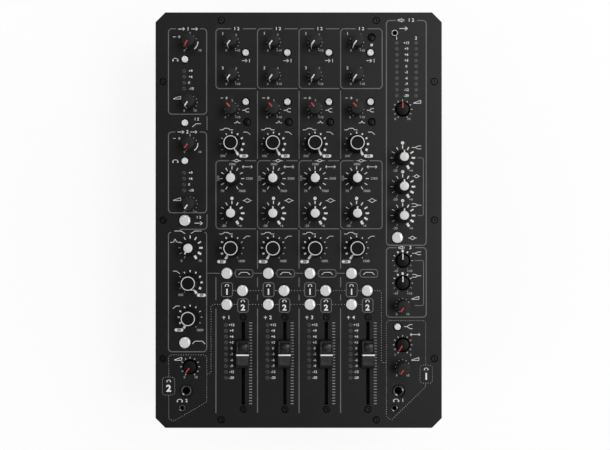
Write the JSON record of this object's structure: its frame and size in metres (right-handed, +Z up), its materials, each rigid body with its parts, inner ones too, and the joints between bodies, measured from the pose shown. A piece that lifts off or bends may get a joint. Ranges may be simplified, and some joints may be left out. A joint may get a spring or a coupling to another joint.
{
  "type": "dj mixer",
  "caption": "Desktop DJ mixer: rows of rotary knobs, push buttons and line faders on a black steel panel, over a shallow case with rubber feet and rear sockets.",
  "frame": {"origin": "on the table, under the middle of the panel", "axes": "+X to the user's right, +Y to the rear, +Z up"},
  "size_m": [0.248, 0.36, 0.1038],
  "materials": {
    "panel_black": "fine-texture black powder coat with grey and white print",
    "case_black": "black powder coat",
    "rubber": "matt rubber",
    "steel": "plated sheet steel",
    "board_green": "solder-masked laminate",
    "nickel": "bright nickel",
    "ring_knob": "black with a light grey ring and pointer",
    "cap_knob": "black with a light grey cap and pointer",
    "black_knob": "black with a red or white pointer line",
    "fader_black": "black with a white centre line",
    "white_button": "white, satin",
    "grey_button": "light grey, satin"
  },
  "bodies": {
    "mixer": {"top_panel": "panel_black", "chassis": "case_black", "rubber_feet": "rubber", "fader_bodies": "steel", "control_bodies": "steel", "circuit_boards": "board_green", "headphone_jacks": "nickel", "rear_sockets": "nickel", "power_supply": "board_green"},
    "return_1_trim_knob": {"return_1_trim_knob": "black_knob"},
    "return_1_level_knob": {"return_1_level_knob": "black_knob"},
    "return_2_trim_knob": {"return_2_trim_knob": "black_knob"},
    "return_2_level_knob": {"return_2_level_knob": "black_knob"},
    "master_resonance_knob": {"master_resonance_knob": "cap_knob"},
    "master_low_pass_knob": {"master_low_pass_knob": "ring_knob"},
    "master_high_pass_knob": {"master_high_pass_knob": "ring_knob"},
    "cue_b_level_knob": {"cue_b_level_knob": "black_knob"},
    "channel_1_aux_1_knob": {"channel_1_aux_1_knob": "black_knob"},
    "channel_1_aux_2_knob": {"channel_1_aux_2_knob": "black_knob"},
    "channel_1_trim_knob": {"channel_1_trim_knob": "black_knob"},
    "channel_1_low_pass_knob": {"channel_1_low_pass_knob": "ring_knob"},
    "channel_1_sweep_knob": {"channel_1_sweep_knob": "cap_knob"},
    "channel_1_boost_knob": {"channel_1_boost_knob": "cap_knob"},
    "channel_1_high_pass_knob": {"channel_1_high_pass_knob": "ring_knob"},
    "channel_2_aux_1_knob": {"channel_2_aux_1_knob": "black_knob"},
    "channel_2_aux_2_knob": {"channel_2_aux_2_knob": "black_knob"},
    "channel_2_trim_knob": {"channel_2_trim_knob": "black_knob"},
    "channel_2_low_pass_knob": {"channel_2_low_pass_knob": "ring_knob"},
    "channel_2_sweep_knob": {"channel_2_sweep_knob": "cap_knob"},
    "channel_2_boost_knob": {"channel_2_boost_knob": "cap_knob"},
    "channel_2_high_pass_knob": {"channel_2_high_pass_knob": "ring_knob"},
    "channel_3_aux_1_knob": {"channel_3_aux_1_knob": "black_knob"},
    "channel_3_aux_2_knob": {"channel_3_aux_2_knob": "black_knob"},
    "channel_3_trim_knob": {"channel_3_trim_knob": "black_knob"},
    "channel_3_low_pass_knob": {"channel_3_low_pass_knob": "ring_knob"},
    "channel_3_sweep_knob": {"channel_3_sweep_knob": "cap_knob"},
    "channel_3_boost_knob": {"channel_3_boost_knob": "cap_knob"},
    "channel_3_high_pass_knob": {"channel_3_high_pass_knob": "ring_knob"},
    "channel_4_aux_1_knob": {"channel_4_aux_1_knob": "black_knob"},
    "channel_4_aux_2_knob": {"channel_4_aux_2_knob": "black_knob"},
    "channel_4_trim_knob": {"channel_4_trim_knob": "black_knob"},
    "channel_4_low_pass_knob": {"channel_4_low_pass_knob": "ring_knob"},
    "channel_4_sweep_knob": {"channel_4_sweep_knob": "cap_knob"},
    "channel_4_boost_knob": {"channel_4_boost_knob": "cap_knob"},
    "channel_4_high_pass_knob": {"channel_4_high_pass_knob": "ring_knob"},
    "master_level_knob": {"master_level_knob": "black_knob"},
    "eq_high_knob": {"eq_high_knob": "cap_knob"},
    "eq_mid_knob": {"eq_mid_knob": "cap_knob"},
    "eq_low_knob": {"eq_low_knob": "cap_knob"},
    "booth_high_knob": {"booth_high_knob": "black_knob"},
    "booth_low_knob": {"booth_low_knob": "black_knob"},
    "booth_level_knob": {"booth_level_knob": "black_knob"},
    "cue_a_source_knob": {"cue_a_source_knob": "black_knob"},
    "cue_a_level_knob": {"cue_a_level_knob": "black_knob"},
    "channel_1_fader_cap": {"channel_1_fader_cap": "fader_black"},
    "channel_2_fader_cap": {"channel_2_fader_cap": "fader_black"},
    "channel_3_fader_cap": {"channel_3_fader_cap": "fader_black"},
    "channel_4_fader_cap": {"channel_4_fader_cap": "fader_black"},
    "small_buttons": {"small_buttons": "white_button"},
    "large_buttons": {"large_buttons": "grey_button"}
  },
  "joints": [
    {"name": "channel_1_fader_slide", "type": "slide", "parent": "mixer", "child": "channel_1_fader_cap", "axis": [0, 1, 0], "range_m": [-0.0388, 0.0212]},
    {"name": "channel_2_fader_slide", "type": "slide", "parent": "mixer", "child": "channel_2_fader_cap", "axis": [0, 1, 0], "range_m": [-0.0388, 0.0212]},
    {"name": "channel_3_fader_slide", "type": "slide", "parent": "mixer", "child": "channel_3_fader_cap", "axis": [0, 1, 0], "range_m": [-0.0388, 0.0212]},
    {"name": "channel_4_fader_slide", "type": "slide", "parent": "mixer", "child": "channel_4_fader_cap", "axis": [0, 1, 0], "range_m": [-0.0388, 0.0212]},
    {"name": "small_buttons_press", "type": "slide", "parent": "mixer", "child": "small_buttons", "axis": [0, 0, 1], "range_m": [-0.0012, 0], "stiffness_N_per_m": 400, "springref_m": 0.002},
    {"name": "large_buttons_press", "type": "slide", "parent": "mixer", "child": "large_buttons", "axis": [0, 0, 1], "range_m": [-0.0015, 0], "stiffness_N_per_m": 400, "springref_m": 0.002},
    {"name": "return_1_trim_turn", "type": "hinge", "parent": "mixer", "child": "return_1_trim_knob", "pos_m": [-0.094, 0.154, 0.088], "axis": [0, 0, 1], "range_deg": [-295, 5]},
    {"name": "return_1_level_turn", "type": "hinge", "parent": "mixer", "child": "return_1_level_knob", "pos_m": [-0.094, 0.102, 0.088], "axis": [0, 0, 1], "range_deg": [-295, 5]},
    {"name": "return_2_trim_turn", "type": "hinge", "parent": "mixer", "child": "return_2_trim_knob", "pos_m": [-0.094, 0.066, 0.088], "axis": [0, 0, 1], "range_deg": [-295, 5]},
    {"name": "return_2_level_turn", "type": "hinge", "parent": "mixer", "child": "return_2_level_knob", "pos_m": [-0.094, 0.014, 0.088], "axis": [0, 0, 1], "range_deg": [-295, 5]},
    {"name": "master_resonance_turn", "type": "hinge", "parent": "mixer", "child": "master_resonance_knob", "pos_m": [-0.094, -0.024, 0.088], "axis": [0, 0, 1], "range_deg": [-300, 0]},
    {"name": "master_low_pass_turn", "type": "hinge", "parent": "mixer", "child": "master_low_pass_knob", "pos_m": [-0.094, -0.054, 0.088], "axis": [0, 0, 1], "range_deg": [0, 300]},
    {"name": "master_high_pass_turn", "type": "hinge", "parent": "mixer", "child": "master_high_pass_knob", "pos_m": [-0.094, -0.084, 0.088], "axis": [0, 0, 1], "range_deg": [-300, 0]},
    {"name": "cue_b_level_turn", "type": "hinge", "parent": "mixer", "child": "cue_b_level_knob", "pos_m": [-0.094, -0.127, 0.088], "axis": [0, 0, 1], "range_deg": [-295, 5]},
    {"name": "channel_1_aux_1_turn", "type": "hinge", "parent": "mixer", "child": "channel_1_aux_1_knob", "pos_m": [-0.0578, 0.154, 0.088], "axis": [0, 0, 1], "range_deg": [-295, 5]},
    {"name": "channel_1_aux_2_turn", "type": "hinge", "parent": "mixer", "child": "channel_1_aux_2_knob", "pos_m": [-0.0578, 0.125, 0.088], "axis": [0, 0, 1], "range_deg": [-295, 5]},
    {"name": "channel_1_trim_turn", "type": "hinge", "parent": "mixer", "child": "channel_1_trim_knob", "pos_m": [-0.0578, 0.096, 0.088], "axis": [0, 0, 1], "range_deg": [-192, 108]},
    {"name": "channel_1_low_pass_turn", "type": "hinge", "parent": "mixer", "child": "channel_1_low_pass_knob", "pos_m": [-0.0578, 0.066, 0.088], "axis": [0, 0, 1], "range_deg": [0, 300]},
    {"name": "channel_1_sweep_turn", "type": "hinge", "parent": "mixer", "child": "channel_1_sweep_knob", "pos_m": [-0.0578, 0.036, 0.088], "axis": [0, 0, 1], "range_deg": [-150, 150]},
    {"name": "channel_1_boost_turn", "type": "hinge", "parent": "mixer", "child": "channel_1_boost_knob", "pos_m": [-0.0578, 0.006, 0.088], "axis": [0, 0, 1], "range_deg": [-150, 150]},
    {"name": "channel_1_high_pass_turn", "type": "hinge", "parent": "mixer", "child": "channel_1_high_pass_knob", "pos_m": [-0.0578, -0.024, 0.088], "axis": [0, 0, 1], "range_deg": [-300, 0]},
    {"name": "channel_2_aux_1_turn", "type": "hinge", "parent": "mixer", "child": "channel_2_aux_1_knob", "pos_m": [-0.0218, 0.154, 0.088], "axis": [0, 0, 1], "range_deg": [-295, 5]},
    {"name": "channel_2_aux_2_turn", "type": "hinge", "parent": "mixer", "child": "channel_2_aux_2_knob", "pos_m": [-0.0218, 0.125, 0.088], "axis": [0, 0, 1], "range_deg": [-295, 5]},
    {"name": "channel_2_trim_turn", "type": "hinge", "parent": "mixer", "child": "channel_2_trim_knob", "pos_m": [-0.0218, 0.096, 0.088], "axis": [0, 0, 1], "range_deg": [-192, 108]},
    {"name": "channel_2_low_pass_turn", "type": "hinge", "parent": "mixer", "child": "channel_2_low_pass_knob", "pos_m": [-0.0218, 0.066, 0.088], "axis": [0, 0, 1], "range_deg": [0, 300]},
    {"name": "channel_2_sweep_turn", "type": "hinge", "parent": "mixer", "child": "channel_2_sweep_knob", "pos_m": [-0.0218, 0.036, 0.088], "axis": [0, 0, 1], "range_deg": [-150, 150]},
    {"name": "channel_2_boost_turn", "type": "hinge", "parent": "mixer", "child": "channel_2_boost_knob", "pos_m": [-0.0218, 0.006, 0.088], "axis": [0, 0, 1], "range_deg": [-150, 150]},
    {"name": "channel_2_high_pass_turn", "type": "hinge", "parent": "mixer", "child": "channel_2_high_pass_knob", "pos_m": [-0.0218, -0.024, 0.088], "axis": [0, 0, 1], "range_deg": [-300, 0]},
    {"name": "channel_3_aux_1_turn", "type": "hinge", "parent": "mixer", "child": "channel_3_aux_1_knob", "pos_m": [0.0142, 0.154, 0.088], "axis": [0, 0, 1], "range_deg": [-295, 5]},
    {"name": "channel_3_aux_2_turn", "type": "hinge", "parent": "mixer", "child": "channel_3_aux_2_knob", "pos_m": [0.0142, 0.125, 0.088], "axis": [0, 0, 1], "range_deg": [-295, 5]},
    {"name": "channel_3_trim_turn", "type": "hinge", "parent": "mixer", "child": "channel_3_trim_knob", "pos_m": [0.0142, 0.096, 0.088], "axis": [0, 0, 1], "range_deg": [-192, 108]},
    {"name": "channel_3_low_pass_turn", "type": "hinge", "parent": "mixer", "child": "channel_3_low_pass_knob", "pos_m": [0.0142, 0.066, 0.088], "axis": [0, 0, 1], "range_deg": [0, 300]},
    {"name": "channel_3_sweep_turn", "type": "hinge", "parent": "mixer", "child": "channel_3_sweep_knob", "pos_m": [0.0142, 0.036, 0.088], "axis": [0, 0, 1], "range_deg": [-150, 150]},
    {"name": "channel_3_boost_turn", "type": "hinge", "parent": "mixer", "child": "channel_3_boost_knob", "pos_m": [0.0142, 0.006, 0.088], "axis": [0, 0, 1], "range_deg": [-150, 150]},
    {"name": "channel_3_high_pass_turn", "type": "hinge", "parent": "mixer", "child": "channel_3_high_pass_knob", "pos_m": [0.0142, -0.024, 0.088], "axis": [0, 0, 1], "range_deg": [-300, 0]},
    {"name": "channel_4_aux_1_turn", "type": "hinge", "parent": "mixer", "child": "channel_4_aux_1_knob", "pos_m": [0.0502, 0.154, 0.088], "axis": [0, 0, 1], "range_deg": [-295, 5]},
    {"name": "channel_4_aux_2_turn", "type": "hinge", "parent": "mixer", "child": "channel_4_aux_2_knob", "pos_m": [0.0502, 0.125, 0.088], "axis": [0, 0, 1], "range_deg": [-295, 5]},
    {"name": "channel_4_trim_turn", "type": "hinge", "parent": "mixer", "child": "channel_4_trim_knob", "pos_m": [0.0502, 0.096, 0.088], "axis": [0, 0, 1], "range_deg": [-192, 108]},
    {"name": "channel_4_low_pass_turn", "type": "hinge", "parent": "mixer", "child": "channel_4_low_pass_knob", "pos_m": [0.0502, 0.066, 0.088], "axis": [0, 0, 1], "range_deg": [0, 300]},
    {"name": "channel_4_sweep_turn", "type": "hinge", "parent": "mixer", "child": "channel_4_sweep_knob", "pos_m": [0.0502, 0.036, 0.088], "axis": [0, 0, 1], "range_deg": [-150, 150]},
    {"name": "channel_4_boost_turn", "type": "hinge", "parent": "mixer", "child": "channel_4_boost_knob", "pos_m": [0.0502, 0.006, 0.088], "axis": [0, 0, 1], "range_deg": [-150, 150]},
    {"name": "channel_4_high_pass_turn", "type": "hinge", "parent": "mixer", "child": "channel_4_high_pass_knob", "pos_m": [0.0502, -0.024, 0.088], "axis": [0, 0, 1], "range_deg": [-300, 0]},
    {"name": "master_level_turn", "type": "hinge", "parent": "mixer", "child": "master_level_knob", "pos_m": [0.0901, 0.096, 0.088], "axis": [0, 0, 1], "range_deg": [-150, 150]},
    {"name": "eq_high_turn", "type": "hinge", "parent": "mixer", "child": "eq_high_knob", "pos_m": [0.0901, 0.054, 0.088], "axis": [0, 0, 1], "range_deg": [-150, 150]},
    {"name": "eq_mid_turn", "type": "hinge", "parent": "mixer", "child": "eq_mid_knob", "pos_m": [0.0901, 0.029, 0.088], "axis": [0, 0, 1], "range_deg": [-150, 150]},
    {"name": "eq_low_turn", "type": "hinge", "parent": "mixer", "child": "eq_low_knob", "pos_m": [0.0901, 0.004, 0.088], "axis": [0, 0, 1], "range_deg": [-150, 150]},
    {"name": "booth_high_turn", "type": "hinge", "parent": "mixer", "child": "booth_high_knob", "pos_m": [0.0901, -0.035, 0.088], "axis": [0, 0, 1], "range_deg": [-150, 150]},
    {"name": "booth_low_turn", "type": "hinge", "parent": "mixer", "child": "booth_low_knob", "pos_m": [0.0901, -0.0545, 0.088], "axis": [0, 0, 1], "range_deg": [-150, 150]},
    {"name": "booth_level_turn", "type": "hinge", "parent": "mixer", "child": "booth_level_knob", "pos_m": [0.0901, -0.074, 0.088], "axis": [0, 0, 1], "range_deg": [-295, 5]},
    {"name": "cue_a_source_turn", "type": "hinge", "parent": "mixer", "child": "cue_a_source_knob", "pos_m": [0.0901, -0.108, 0.088], "axis": [0, 0, 1], "range_deg": [-295, 5]},
    {"name": "cue_a_level_turn", "type": "hinge", "parent": "mixer", "child": "cue_a_level_knob", "pos_m": [0.0901, -0.127, 0.088], "axis": [0, 0, 1], "range_deg": [-295, 5]}
  ]
}
